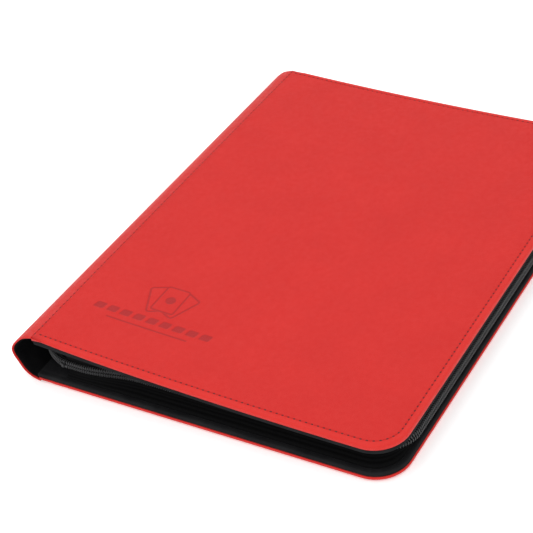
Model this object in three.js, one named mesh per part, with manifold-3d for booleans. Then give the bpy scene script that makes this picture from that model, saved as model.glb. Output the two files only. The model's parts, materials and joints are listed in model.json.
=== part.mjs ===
// A zip-round trading card binder, lying closed on its back cover.
// Padded imitation-leather covers wrap a soft rounded spine, a coil zip closes the other three
// sides, and twenty nine-pocket pages are bound to the spine.
//
// Units are millimetres. Inside this file x is measured from the back cover's fold line towards
// the fore-edge, y runs from the tail (bottom) edge to the head (top) edge with 0 at mid-height,
// and z is height above the table. The group at the end shifts x so that the origin is under
// the middle of the closed binder.
import * as THREE from "three";
import { mergeVertices } from "three/addons/utils/BufferGeometryUtils.js";
import Module from "manifold-3d";

const wasm = await Module();
wasm.setup();

// ---------------------------------------------------------------- driving dimensions
const HALF_HEIGHT = 175; // covers are 350 tall
const BACK_EDGE = 265; // fore-edge of the back cover
const FRONT_EDGE = 266.5; // the closed front cover leans slightly past the back one
const CORNER_RADIUS = 22; // fore-edge corners of both covers
const FRONT_START = 6.5; // stitched joint where the front cover's board begins
const BACK_START = 3; // and the back cover's
const CLEAR = 0.3; // gap left between pieces that touch

const SKIN = 1; // imitation leather with its turned edge
const FRONT_DEPTH = 4.4; // leather tray of the front cover, rim included
const BACK_DEPTH = 3.2;
const BOARD = 1.3; // chipboard stiffener
const LINING = 3; // padded inner panel
const FORE_GAP = 25.3; // front tray's rim above the table at the fore-edge
const SPINE_RISE = 11.2; // how much higher it sits at the spine

const COIL_Z = 15.5; // mid-height of the zip on the head and tail runs
const COIL_Z_FORE = 13.5; // and along the fore-edge
const COIL_DEPTH = 2.2; // each coil, square to the tape
const COIL_HEIGHT = 2.2;
const COIL_PART = 0.5; // half the gap between the two coils
const ZIP_INSET = 14; // zip line inside the covers' head and tail edges
const ZIP_FORE_X = 262.5; // zip line along the fore-edge
const ZIP_CORNER = 24;
const ZIP_START = 24; // where the zip leaves the covers for its free ends
const TAPE = 0.7;
const TAPE_UPRIGHT = 6.2; // tape that stands straight beside the coil
const TAPE_SEAM_INSET = 4; // tape's seam inside the covers' edges
const FLARE = 5.5; // the zip swings out near the spine at the tail edge

const PAGES = 20;
const PAGE_PITCH = 0.65;
const PAGE_Z = 8.9; // lowest page's mid-height
const PAGE_THICK = 0.42;
const PAGE_ROOT_THICK = 0.2;
const PAGE_WIDTH = 242.5; // from the bound edge
const PAGE_MARGIN = 9.6; // thin strip between the bound edge and the pockets
const PAGE_HALF = 147;
const PAGE_BOUND = 3.9; // bound edges inside the spine's mid-line
const PAGE_CORNER = 6;

// Mid-line of the spine: back fold, two creases, front fold, as [x, z].
const FOLDS = [
  [1.5, 1.05],
  [-8.4, 7],
  [-13.9, 21.8],
  [4.5, 39.3],
];
const FOLD_TRIM = 1.2; // each strip stops short of its fold lines
const SPINE_SKIN = 1.2;
const SPINE_LINING = 1;
const MIDDLE = 1; // the strip that carries the pages
const SPINE_OUT = 1; // leather's outer face beyond the mid-line

const SLIDER_X = 13.5; // slider's middle when the zip is closed
const SLIDER_LENGTH = 14;
const SLIDER_HALF = 5; // half its height
const PLATE = 1.1;
const ZIP_Y = HALF_HEIGHT - ZIP_INSET;
const PLATE_IN = ZIP_Y - 2.8; // inner face of the inner plate
const PLATE_OUT = ZIP_Y + 3.0; // inner face of the outer plate
const PIVOT_Y = PLATE_OUT + PLATE + 1.45; // puller's pin
const PIN_RADIUS = 0.7;

// ---------------------------------------------------------------- materials
const material = (color, roughness, metalness = 0) =>
  new THREE.MeshStandardMaterial({ color, roughness, metalness });
const RED = material(0xd8322e, 0.55);
const BOARD_GREY = material(0x8c8378, 0.9);
const FOAM = material(0x3a3a3c, 0.95);
const LINING_BLACK = material(0x141416, 0.5);
const TAPE_BLACK = material(0x111112, 0.85);
const COIL_BLACK = material(0x1c1c1e, 0.4);
const METAL_BLACK = material(0x202022, 0.35, 0.8);
const PAGE_BLACK = material(0x0e0e10, 0.25);

// ---------------------------------------------------------------- helpers
function solid(geometry) {
  const bare = geometry.index ? geometry.toNonIndexed() : geometry.clone();
  bare.deleteAttribute("normal");
  bare.deleteAttribute("uv");
  const merged = mergeVertices(bare, 1e-4);
  const mesh = new wasm.Mesh({
    numProp: 3,
    vertProperties: new Float32Array(merged.attributes.position.array),
    triVerts: new Uint32Array(merged.index.array),
  });
  return new wasm.Manifold(mesh);
}

function geometryOf(made) {
  const { vertProperties, triVerts, numProp } = made.getMesh();
  const count = vertProperties.length / numProp;
  const position = new Float32Array(count * 3);
  for (let i = 0; i < count; i++) {
    position.set(vertProperties.subarray(i * numProp, i * numProp + 3), i * 3);
  }
  const geometry = new THREE.BufferGeometry();
  geometry.setAttribute("position", new THREE.BufferAttribute(position, 3));
  geometry.setIndex(new THREE.BufferAttribute(triVerts, 1));
  geometry.computeVertexNormals();
  return geometry;
}

const binder = new THREE.Group();

function add(name, shape, look) {
  const geometry = shape.isBufferGeometry ? shape : geometryOf(shape);
  const mesh = new THREE.Mesh(geometry, look);
  mesh.name = name;
  binder.add(mesh);
}

function box(x0, x1, y0, y1, z0, z1) {
  const geometry = new THREE.BoxGeometry(x1 - x0, y1 - y0, z1 - z0);
  geometry.translate((x0 + x1) / 2, (y0 + y1) / 2, (z0 + z1) / 2);
  return geometry;
}

// A closed [x, z] outline run along y.
function alongY(points, y0, y1) {
  const shape = new THREE.Shape(points.map(([x, z]) => new THREE.Vector2(x, z)));
  const options = { depth: y1 - y0, bevelEnabled: false };
  const geometry = new THREE.ExtrudeGeometry(shape, options);
  geometry.rotateX(Math.PI / 2);
  geometry.translate(0, y1, 0);
  return geometry;
}

// An [x, y] rectangle with its two fore-edge corners rounded, run up z.
function plate(x0, x1, half, radius, z0, z1) {
  const shape = new THREE.Shape();
  shape.moveTo(x0, -half);
  shape.lineTo(x1 - radius, -half);
  shape.absarc(x1 - radius, -half + radius, radius, -Math.PI / 2, 0, false);
  shape.lineTo(x1, half - radius);
  shape.absarc(x1 - radius, half - radius, radius, 0, Math.PI / 2, false);
  shape.lineTo(x0, half);
  shape.closePath();
  const options = { depth: z1 - z0, bevelEnabled: false, curveSegments: 8 };
  const geometry = new THREE.ExtrudeGeometry(shape, options);
  geometry.translate(0, 0, z0);
  return geometry;
}

// Cross-sections of equal length joined in order, with both ends capped.
// Each ring is convex in projection, or a bent strip whose points pair up across its width.
function loft(rings) {
  const size = rings[0].length;
  const index = [];
  for (let r = 0; r + 1 < rings.length; r++) {
    for (let i = 0; i < size; i++) {
      const a = r * size + i;
      const b = r * size + ((i + 1) % size);
      index.push(a, b, b + size, a, b + size, a + size);
    }
  }
  const last = (rings.length - 1) * size;
  for (let i = 0; i + 1 < size / 2; i++) {
    const j = size - 1 - i;
    index.push(i, j, i + 1, j, j - 1, i + 1);
    index.push(last + i, last + i + 1, last + j, last + j, last + i + 1, last + j - 1);
  }
  const geometry = new THREE.BufferGeometry();
  const position = new Float32Array(rings.flat(2));
  geometry.setAttribute("position", new THREE.BufferAttribute(position, 3));
  geometry.setIndex(index);
  return geometry;
}

const mix = (a, b, t) => a + (b - a) * t;

function ease(t) {
  const c = Math.min(1, Math.max(0, t));
  return c * c * (3 - 2 * c);
}

// ---------------------------------------------------------------- covers
// Underside of the front cover's leather rim: a padded cover that sags from spine to fore-edge.
function frontRim(x) {
  const fromEdge = 1 - Math.min(1, Math.max(0, x / FRONT_EDGE));
  return FORE_GAP + SPINE_RISE * fromEdge * fromEdge;
}

// A cover layer between two heights above the rim line, inset all round.
function frontLayer(low, high, inset) {
  const steps = 14;
  const reach = FRONT_EDGE + 5;
  const profile = [];
  for (let i = 0; i <= steps; i++) {
    const x = (reach * i) / steps;
    profile.push([x, frontRim(x) + low]);
  }
  for (let i = steps; i >= 0; i--) {
    const x = (reach * i) / steps;
    profile.push([x, frontRim(x) + high]);
  }
  const slab = solid(alongY(profile, -HALF_HEIGHT - 5, HALF_HEIGHT + 5));
  const radius = CORNER_RADIUS - inset;
  const outline = plate(FRONT_START + inset, FRONT_EDGE - inset, HALF_HEIGHT - inset, radius, 0, 80);
  return slab.intersect(solid(outline));
}

function frontCover() {
  const roof = FRONT_DEPTH - SKIN;
  const tray = frontLayer(0, FRONT_DEPTH, 0).subtract(frontLayer(-1, roof, SKIN));
  add("front_cover_leather", tray, RED);
  const inset = SKIN + CLEAR;
  add("front_cover_board", frontLayer(0.1, BOARD, inset), BOARD_GREY);
  add("front_cover_foam", frontLayer(BOARD + CLEAR, roof - CLEAR, inset), FOAM);
  add("front_cover_lining", frontLayer(-CLEAR - LINING, -CLEAR, 0.4), LINING_BLACK);
}

function backLayer(z0, z1, inset) {
  const radius = CORNER_RADIUS - inset;
  return solid(plate(BACK_START + inset, BACK_EDGE - inset, HALF_HEIGHT - inset, radius, z0, z1));
}

function backCover() {
  const tray = backLayer(0, BACK_DEPTH, 0).subtract(backLayer(SKIN, BACK_DEPTH + 1, SKIN));
  add("back_cover_leather", tray, RED);
  const inset = SKIN + CLEAR;
  const boardTop = BACK_DEPTH - 0.1;
  const boardBottom = boardTop - BOARD + 0.1;
  add("back_cover_board", backLayer(boardBottom, boardTop, inset), BOARD_GREY);
  add("back_cover_foam", backLayer(SKIN + 0.15, boardBottom - 0.15, inset), FOAM);
  const bottom = BACK_DEPTH + CLEAR;
  add("back_cover_lining", backLayer(bottom, bottom + LINING, 0.4), LINING_BLACK);
}

// ---------------------------------------------------------------- spine
// A place on the spine's strip between two fold lines: its length from the first fold, and its
// height above the mid-line (positive is outwards).
function onStrip(number, along, out) {
  const [[ax, az], [bx, bz]] = [FOLDS[number], FOLDS[number + 1]];
  const length = Math.hypot(bx - ax, bz - az);
  const [dx, dz] = [(bx - ax) / length, (bz - az) / length];
  return [ax + dx * along - dz * out, az + dz * along + dx * out];
}

function stripLength(number) {
  const [[ax, az], [bx, bz]] = [FOLDS[number], FOLDS[number + 1]];
  return Math.hypot(bx - ax, bz - az);
}

// A strip's section between two lengths and two heights.
const stripSection = (number, from, to, inner, outer) => [
  onStrip(number, from, inner),
  onStrip(number, from, outer),
  onStrip(number, to, outer),
  onStrip(number, to, inner),
];

function spine() {
  const skinIn = SPINE_OUT - SPINE_SKIN;
  const liningOut = skinIn - CLEAR;
  const liningIn = liningOut - SPINE_LINING;
  ["lower", "middle", "upper"].forEach((level, i) => {
    const end = stripLength(i) - FOLD_TRIM;
    const leather = stripSection(i, FOLD_TRIM, end, skinIn, SPINE_OUT);
    const lining = stripSection(i, FOLD_TRIM, end, liningIn, liningOut);
    add("spine_leather_" + level, alongY(leather, -HALF_HEIGHT, HALF_HEIGHT), RED);
    add("spine_lining_" + level, alongY(lining, -HALF_HEIGHT, HALF_HEIGHT), LINING_BLACK);
  });
  // The strip that the pages are bound to, glued to the middle of the spine's lining.
  const [low, high] = [FOLD_TRIM / 2, stripLength(MIDDLE) - FOLD_TRIM * 1.5];
  const binding = stripSection(MIDDLE, low, high, CLEAR - PAGE_BOUND, liningIn - CLEAR);
  add("page_binding_strip", alongY(binding, -PAGE_HALF, PAGE_HALF), TAPE_BLACK);
}

// ---------------------------------------------------------------- pages
// Where a page at height z is bound: on a line along the spine's middle strip.
function boundEdge(z) {
  const [x0, z0] = onStrip(MIDDLE, 0, -PAGE_BOUND);
  const [x1, z1] = onStrip(MIDDLE, stripLength(MIDDLE), -PAGE_BOUND);
  return mix(x0, x1, (z - z0) / (z1 - z0));
}

function page(number) {
  const z = PAGE_Z + PAGE_PITCH * (number - 1);
  const thin = PAGE_ROOT_THICK / 2;
  const full = PAGE_THICK / 2;
  const root = boundEdge(z);
  const pockets = root + PAGE_MARGIN;
  const end = root + PAGE_WIDTH;
  const profile = [
    [root, z - thin],
    [pockets - 1, z - thin],
    [pockets, z - full],
    [end + 1, z - full],
    [end + 1, z + full],
    [pockets, z + full],
    [pockets - 1, z + thin],
    [root, z + thin],
  ];
  const slab = solid(alongY(profile, -PAGE_HALF - 1, PAGE_HALF + 1));
  const outline = plate(root - 1, end, PAGE_HALF, PAGE_CORNER, 0, 60);
  const name = "page_" + String(number).padStart(2, "0");
  add(name, slab.intersect(solid(outline)), PAGE_BLACK);
}

// ---------------------------------------------------------------- zip
// Stations along the zip line, from the tail edge round the fore-edge to the head edge. Each
// has its place, its outward normal and the zip's mid-height there.
function zipStations() {
  const made = [];
  const turnX = ZIP_FORE_X - ZIP_CORNER;
  const turnY = ZIP_Y - ZIP_CORNER;
  const runs = 12;
  for (let i = 0; i < runs; i++) {
    const x = mix(ZIP_START, turnX, (i / runs) ** 1.3);
    made.push({ x, y: -ZIP_Y - FLARE * ease((78 - x) / 42), nx: 0, ny: -1, z: COIL_Z });
  }
  const arc = 8;
  for (let i = 0; i <= arc; i++) {
    const t = i / arc;
    const angle = -Math.PI / 2 + (t * Math.PI) / 2;
    const [nx, ny] = [Math.cos(angle), Math.sin(angle)];
    const z = mix(COIL_Z, COIL_Z_FORE, ease(t));
    made.push({ x: turnX + ZIP_CORNER * nx, y: -turnY + ZIP_CORNER * ny, nx, ny, z });
  }
  for (let i = arc; i >= 0; i--) {
    const { x, y, nx, ny, z } = made[runs + i];
    made.push({ x, y: -y, nx, ny: -ny, z });
  }
  for (let i = 1; i <= 4; i++) {
    made.push({ x: mix(turnX, ZIP_START, i / 4), y: ZIP_Y, nx: 0, ny: 1, z: COIL_Z });
  }
  return made;
}

function insideCover(x, y, edge, inset) {
  const radius = CORNER_RADIUS - inset;
  const [right, top] = [edge - inset, HALF_HEIGHT - inset];
  if (x > right || Math.abs(y) > top) return false;
  const [cx, cy] = [x - (right - radius), Math.abs(y) - (top - radius)];
  return cx < 0 || cy < 0 || Math.hypot(cx, cy) < radius;
}

// How far out from the zip line the tape's seam lies, along the station's normal.
function seamReach(station, edge) {
  const { x, y, nx, ny } = station;
  let [low, high] = [-10, 40];
  for (let i = 0; i < 30; i++) {
    const mid = (low + high) / 2;
    if (insideCover(x + nx * mid, y + ny * mid, edge, TAPE_SEAM_INSET)) low = mid;
    else high = mid;
  }
  return low;
}

// A section given as [outwards, height] points, placed at a station.
const ringAt = ({ x, y, nx, ny }, points) =>
  points.map(([out, z]) => [x + nx * out, y + ny * out, z]);

function coilSection(z, side) {
  const near = z + side * COIL_PART;
  const far = near + side * COIL_HEIGHT;
  const [low, high] = side > 0 ? [near, far] : [far, near];
  return [
    [0, low],
    [0, high],
    [COIL_DEPTH, high],
    [COIL_DEPTH, low],
  ];
}

// The tape stands beside the coil, then slants out to its seam under or over a cover.
function tapeSection(z, side, reach, seamZ) {
  const near = z + side * (COIL_PART + 0.1);
  const bend = z + side * TAPE_UPRIGHT;
  const [inner, outer] = [-CLEAR - TAPE, -CLEAR];
  const bendOut = z + side * (TAPE_UPRIGHT - 0.35);
  const points = [
    [inner, near],
    [inner, bend],
    [reach - TAPE, seamZ],
    [reach + TAPE, seamZ],
    [outer, bendOut],
    [outer, near],
  ];
  return side > 0 ? points : points.reverse();
}

function zipSides() {
  const stations = zipStations();
  const backTop = BACK_DEPTH + 2 * CLEAR + LINING;
  for (const [name, side, edge] of [
    ["upper", 1, FRONT_EDGE],
    ["lower", -1, BACK_EDGE],
  ]) {
    const coil = stations.map((s) => ringAt(s, coilSection(s.z, side)));
    add("zip_coil_" + name, loft(coil), COIL_BLACK);
    const tape = stations.map((s) => {
      const reach = seamReach(s, edge);
      const seamX = s.x + s.nx * reach;
      const seamZ = side > 0 ? frontRim(seamX) - 2 * CLEAR - LINING : backTop;
      return ringAt(s, tapeSection(s.z, side, reach, seamZ));
    });
    add("zip_tape_" + name, loft(tape), TAPE_BLACK);
  }
}

// The zip's free end at the tail edge: both sides joined, curling into the spine.
function tailEnd() {
  const line = new THREE.CatmullRomCurve3(
    [
      [ZIP_START - 0.5, -ZIP_Y - FLARE],
      [14, -163.8],
      [6, -159.4],
      [0.6, -154.2],
    ].map(([x, y]) => new THREE.Vector3(x, y, 0)),
  );
  const steps = 8;
  const stations = [];
  for (let i = 0; i <= steps; i++) {
    const point = line.getPoint(i / steps);
    const tangent = line.getTangent(i / steps);
    stations.push({ x: point.x, y: point.y, nx: -tangent.y, ny: tangent.x });
  }
  const half = COIL_PART + COIL_HEIGHT;
  const strip = (inner, outer, reach) => [
    [inner, COIL_Z - reach],
    [outer, COIL_Z - reach],
    [outer, COIL_Z + reach],
    [inner, COIL_Z + reach],
  ];
  const lay = (section) => loft(stations.map((s) => ringAt(s, section)));
  add("zip_tail_end_coil", lay(strip(0, COIL_DEPTH, half)), COIL_BLACK);
  add("zip_tail_end_tape", lay(strip(-CLEAR - TAPE, -CLEAR, TAPE_UPRIGHT)), TAPE_BLACK);
}

// The free end at the head edge, where the slider rests: two runs joined past the stop.
function headEnd() {
  const halves = (x0, x1, y0, y1, near, far, bridge) => {
    const upper = solid(box(x0, x1, y0, y1, COIL_Z + near, COIL_Z + far));
    const lower = solid(box(x0, x1, y0, y1, COIL_Z - far, COIL_Z - near));
    const joined = solid(box(x0, x0 + bridge, y0, y1, COIL_Z - far, COIL_Z + far));
    return upper.add(lower).add(joined);
  };
  const end = ZIP_START - 0.4;
  const far = COIL_PART + COIL_HEIGHT;
  const coil = halves(0.5, end, ZIP_Y, ZIP_Y + COIL_DEPTH, COIL_PART, far, 2);
  add("zip_head_end_coil", coil, COIL_BLACK);
  const [t0, t1] = [ZIP_Y - CLEAR - TAPE, ZIP_Y - CLEAR];
  const tape = halves(-2, end, t0, t1, COIL_PART + 0.1, TAPE_UPRIGHT, 4);
  add("zip_head_end_tape", tape, TAPE_BLACK);
  const stopY = ZIP_Y + COIL_DEPTH + CLEAR;
  add("zip_head_stop", box(3, 5.4, stopY, stopY + 0.9, COIL_Z - 3, COIL_Z + 3), METAL_BLACK);
}

// A small bar that stops the zip at the tail edge, across the outside of the coil.
function tailStop() {
  const y = -ZIP_Y - FLARE - COIL_DEPTH - CLEAR;
  add("zip_tail_stop", box(20.4, 22.8, y - 0.9, y, COIL_Z - 3, COIL_Z + 3), METAL_BLACK);
}

// ---------------------------------------------------------------- slider and puller
function sliderPlate(y0) {
  const [nose, rear] = [SLIDER_X - SLIDER_LENGTH / 2, SLIDER_X + SLIDER_LENGTH / 2];
  const [wide, slim] = [SLIDER_HALF, SLIDER_HALF * 0.72];
  const outline = [
    [nose, COIL_Z - wide * 0.6],
    [nose + 2, COIL_Z - wide],
    [nose + 6, COIL_Z - wide],
    [rear - 1, COIL_Z - slim],
    [rear, COIL_Z - slim + 1],
    [rear, COIL_Z + slim - 1],
    [rear - 1, COIL_Z + slim],
    [nose + 6, COIL_Z + wide],
    [nose + 2, COIL_Z + wide],
    [nose, COIL_Z + wide * 0.6],
  ];
  return solid(alongY(outline, y0, y0 + PLATE));
}

function slider() {
  const web = 0.2;
  const nose = SLIDER_X - SLIDER_LENGTH / 2;
  let body = sliderPlate(PLATE_IN - PLATE).add(sliderPlate(PLATE_OUT));
  const bridge = box(nose + 0.8, nose + 5, PLATE_IN - 0.2, PLATE_OUT + 0.2, COIL_Z - web, COIL_Z + web);
  body = body.add(solid(bridge));
  for (const side of [-1, 1]) {
    const [a, b] = [COIL_Z + side * 3.3, COIL_Z + side * 4.4].sort((p, q) => p - q);
    const lip = box(nose + 2, nose + 7, ZIP_Y + 1.2, PLATE_OUT + 0.2, a, b);
    body = body.add(solid(lip));
  }
  add("slider_body", body, METAL_BLACK);
  // The bail arches along the outer plate, over the puller's pin.
  const foot = PLATE_OUT + PLATE + CLEAR;
  const top = PIVOT_Y + PIN_RADIUS + 1.5;
  const arch = solid(box(SLIDER_X - 5, SLIDER_X + 5, foot, top, COIL_Z - 1.2, COIL_Z + 1.2));
  const under = box(SLIDER_X - 3.9, SLIDER_X + 3.9, foot - 1, top - 1, COIL_Z - 2, COIL_Z + 2);
  add("slider_bail", arch.subtract(solid(under)), METAL_BLACK);
}

function puller() {
  const arm = 0.8;
  const reach = 7;
  const pin = new THREE.CylinderGeometry(PIN_RADIUS, PIN_RADIUS, 6.4, 12);
  pin.rotateX(Math.PI / 2);
  pin.translate(SLIDER_X, PIVOT_Y, COIL_Z);
  let ring = solid(pin);
  for (const side of [-1, 1]) {
    const [a, b] = [COIL_Z + side * 1.9, COIL_Z + side * 3.3].sort((p, q) => p - q);
    const [y0, y1] = [PIVOT_Y - arm, PIVOT_Y + arm];
    ring = ring.add(solid(box(SLIDER_X - 0.8, SLIDER_X + reach, y0, y1, a, b)));
  }
  const tip = SLIDER_X + reach;
  const end = box(tip - 1.4, tip, PIVOT_Y - arm, PIVOT_Y + arm, COIL_Z - 3.3, COIL_Z + 3.3);
  ring = ring.add(solid(end));
  add("puller_ring", ring, METAL_BLACK);
  // The grip is a separate moulded tab, held through the ring's end.
  const grip = new THREE.Shape();
  const [x0, x1] = [SLIDER_X + reach + CLEAR, SLIDER_X + reach + 24];
  grip.moveTo(x0, -3);
  grip.lineTo(x1 - 4, -4);
  grip.absarc(x1 - 4, 0, 4, -Math.PI / 2, Math.PI / 2, false);
  grip.lineTo(x0, 3);
  grip.closePath();
  const eye = new THREE.Path();
  eye.absarc(x1 - 4, 0, 1.6, 0, Math.PI * 2, true);
  grip.holes.push(eye);
  const options = { depth: 1.8, bevelEnabled: false, curveSegments: 10 };
  const tab = new THREE.ExtrudeGeometry(grip, options);
  tab.rotateX(Math.PI / 2);
  tab.translate(0, PIVOT_Y + 0.9, COIL_Z);
  add("puller_tab", tab, METAL_BLACK);
}

// ---------------------------------------------------------------- the binder
frontCover();
backCover();
spine();
for (let number = 1; number <= PAGES; number++) page(number);
zipSides();
tailEnd();
headEnd();
tailStop();
slider();
puller();

const extent = new THREE.Box3().setFromObject(binder);
binder.position.x = -(extent.min.x + extent.max.x) / 2;
export default binder;
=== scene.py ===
"""Looks for a zip-round trading card binder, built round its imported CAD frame.

Lengths are metres, in the CAD frame: +X from the spine to the fore-edge, +Y from the tail edge
to the head edge, +Z up. Helper functions come first, then one function for each material and
one for each group of pieces.
"""

import json
import math

import bmesh
import bpy
from mathutils import Matrix, Vector


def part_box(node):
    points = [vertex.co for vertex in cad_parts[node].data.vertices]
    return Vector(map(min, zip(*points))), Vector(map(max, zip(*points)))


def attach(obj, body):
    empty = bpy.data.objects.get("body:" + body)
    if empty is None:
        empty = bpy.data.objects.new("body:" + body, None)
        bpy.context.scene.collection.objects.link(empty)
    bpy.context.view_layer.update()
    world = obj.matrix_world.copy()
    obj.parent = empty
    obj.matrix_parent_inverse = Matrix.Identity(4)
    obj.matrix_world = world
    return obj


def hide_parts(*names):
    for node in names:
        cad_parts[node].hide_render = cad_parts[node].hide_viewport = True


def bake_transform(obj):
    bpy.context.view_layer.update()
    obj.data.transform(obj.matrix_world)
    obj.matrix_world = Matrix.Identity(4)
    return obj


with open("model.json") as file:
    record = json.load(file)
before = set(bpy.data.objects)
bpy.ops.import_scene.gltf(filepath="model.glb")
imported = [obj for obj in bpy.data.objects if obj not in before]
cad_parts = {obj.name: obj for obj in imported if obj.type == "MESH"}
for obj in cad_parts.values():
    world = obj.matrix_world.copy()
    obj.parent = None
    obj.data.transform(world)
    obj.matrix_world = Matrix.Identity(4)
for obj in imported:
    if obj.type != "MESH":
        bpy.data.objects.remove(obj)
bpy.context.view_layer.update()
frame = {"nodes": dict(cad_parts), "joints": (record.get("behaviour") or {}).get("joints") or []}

MM = 0.001

# ------------------------------------------------------------------ driving dimensions
FRONT_LOW, FRONT_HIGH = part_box("front_cover_leather")
BACK_LOW, BACK_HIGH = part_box("back_cover_leather")
HALF = FRONT_HIGH.y
FOLD = {j["name"]: Vector(j["pos_m"]) for j in frame["joints"] if "pos_m" in j}
FOLDS = [FOLD[n] for n in ("spine_fold_1", "spine_fold_2", "spine_fold_3", "front_cover_fold")]
HINGE_LINE = FOLDS[0].x - 1.5 * MM  # x of the back cover's nominal fold line

CORNER = 22 * MM  # fore-edge corners of the covers
SPINE_SHARE = 0.5  # an inset loop steps in from the spine side by this share of its inset
SKIN = 1 * MM  # leather thickness at the covers' turned edges
FRONT_DEPTH = 4.4 * MM
BACK_DEPTH = BACK_HIGH.z
RIM_LIFT = 0.6 * MM  # the turned edge stops short of the rim line
SPINE_LIFT = 1.7 * MM  # and shorter still beside the spine, on the front cover
SPINE_LIFT_FADE = 28 * MM  # distance from the spine over which that fades
EDGE_ROUND = 1.3 * MM
PAD_CROWN = 0.35 * MM  # padding lifts the middle of a cover
SEAM_ROUND = 2 * MM  # roll of the padded edge beside the spine
STITCH_INSET = 4.3 * MM
SEAM_INSET = 1.0 * MM  # stitches in the ditch beside the spine
STITCH_PITCH = 4 * MM
THREAD = 0.26 * MM  # thread's radius
PRESS_DEPTH = 0.25 * MM  # how deep the emblem is pressed

# A cover seen from above: x beside the spine, x of the fore-edge, half its height, corner radius.
FRONT_PLAN = (FRONT_LOW.x, FRONT_HIGH.x, HALF, CORNER)
BACK_PLAN = (BACK_LOW.x, BACK_HIGH.x, HALF, CORNER)

LINING_CORNER = CORNER - 0.4 * MM
LIP_DROP = 0.3 * MM  # a lining's lip stops this far below the leather's turned edge
LINING_LAP = 1.5 * MM  # the back lining laps over the seam beside the spine

SPINE_SKIN = 1.3 * MM
SPINE_SWELL = (1.2 * MM, 1.2 * MM, 2.4 * MM)  # curve outside each flat strip of the frame
SPINE_OUT = 1 * MM

HEAD_COIL_LOW, HEAD_COIL_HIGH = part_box("zip_head_end_coil")
COIL_Z = (HEAD_COIL_LOW.z + HEAD_COIL_HIGH.z) / 2
COIL_Z_FORE = COIL_Z - 2 * MM
COIL_DEPTH = 2.2 * MM
ZIP_Y = HEAD_COIL_LOW.y
ZIP_FORE_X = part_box("zip_coil_lower")[1].x - COIL_DEPTH
ZIP_CORNER = 24 * MM
ZIP_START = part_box("zip_coil_lower")[0].x
FLARE = 5.5 * MM
TOOTH_PITCH = 1.7 * MM
STOP_SHARE = 0.6  # a crimped stop is this much of its node's height
TAPE = 0.7 * MM
TAPE_UPRIGHT = 6.2 * MM
TAPE_SEAM_INSET = 4 * MM


# ------------------------------------------------------------------ helpers
def ease(t):
    """A smooth step from 0 to 1 as t goes from 0 to 1."""
    c = min(1.0, max(0.0, t))
    return c * c * (3 - 2 * c)


def mix(a, b, t):
    return a + (b - a) * t


def make(name, points, faces, material, marks=None, angle=40):
    """A mesh object from points and faces. marks are named values, one number for each point."""
    mesh = bpy.data.meshes.new(name)
    mesh.from_pydata([tuple(p) for p in points], [], faces)
    for mark, values in (marks or {}).items():
        layer = mesh.attributes.new(mark, "FLOAT", "POINT")
        layer.data.foreach_set("value", values)
    bm = bmesh.new()
    bm.from_mesh(mesh)
    bmesh.ops.remove_doubles(bm, verts=bm.verts, dist=2e-6)
    bmesh.ops.dissolve_degenerate(bm, edges=bm.edges, dist=1e-7)
    bmesh.ops.recalc_face_normals(bm, faces=bm.faces)
    for face in bm.faces:
        face.smooth = True
    bm.to_mesh(mesh)
    bm.free()
    mesh.set_sharp_from_angle(angle=math.radians(angle))
    mesh.materials.append(material)
    piece = bpy.data.objects.new(name, mesh)
    bpy.context.scene.collection.objects.link(piece)
    return piece


def place(piece, body, slot, *nodes):
    """Puts a piece on a body and hides the nodes that it stands for. The slot is not used."""
    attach(piece, body)
    if nodes:
        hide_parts(*nodes)
    return piece


class Shape:
    """Points and faces gathered from several parts, with optional marks on each point."""

    def __init__(self):
        self.points = []
        self.faces = []
        self.marks = {}

    def ring(self, points, **marks):
        first = len(self.points)
        self.points += points
        for name, value in marks.items():
            row = self.marks.setdefault(name, [])
            row += [0.0] * (first - len(row))
            row += value if isinstance(value, list) else [value] * len(points)
        return list(range(first, len(self.points)))

    def bridge(self, a, b, closed=True):
        n = len(a)
        for i in range(n if closed else n - 1):
            j = (i + 1) % n
            self.faces.append((a[i], a[j], b[j], b[i]))

    def cap(self, ring):
        self.faces.append(tuple(ring))

    def tube(self, rings):
        """Closed rings joined in order, capped at both ends."""
        rows = [self.ring(r) for r in rings]
        for a, b in zip(rows, rows[1:]):
            self.bridge(a, b)
        self.cap(rows[0][::-1])
        self.cap(rows[-1])

    def make(self, name, material, angle=40):
        marks = {}
        for mark, row in self.marks.items():
            marks[mark] = row + [0.0] * (len(self.points) - len(row))
        return make(name, self.points, self.faces, material, marks, angle)


def round_turn(sides):
    """Angles evenly spaced round a circle."""
    return [2 * math.pi * k / sides for k in range(sides)]


def circle_rings(path, radius, sides=6, up=Vector((0, 0, 1))):
    """Rings of a round section along a path of points."""
    rings = []
    for i, p in enumerate(path):
        ahead = path[min(i + 1, len(path) - 1)] - path[max(i - 1, 0)]
        ahead.normalize()
        side = ahead.cross(up).normalized()
        top = side.cross(ahead)
        turn = round_turn(sides)
        rings.append([p + side * math.cos(t) * radius + top * math.sin(t) * radius for t in turn])
    return rings


def spaced(low, high, step):
    """Even steps from low to high, each about step long."""
    count = max(1, round((high - low) / step))
    return [mix(low, high, i / count) for i in range(count + 1)]


def resample(path, step):
    """Points at an even spacing along a polyline, with the way ahead at each."""
    lengths = [0.0]
    for a, b in zip(path, path[1:]):
        lengths.append(lengths[-1] + (b - a).length)
    count = max(1, round(lengths[-1] / step))
    found = []
    k = 0
    for i in range(count + 1):
        at = lengths[-1] * i / count
        while k < len(path) - 2 and lengths[k + 1] < at:
            k += 1
        span = max(lengths[k + 1] - lengths[k], 1e-12)
        ahead = path[k + 1] - path[k]
        found.append((path[k] + ahead * ((at - lengths[k]) / span), ahead.normalized()))
    return found


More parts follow.
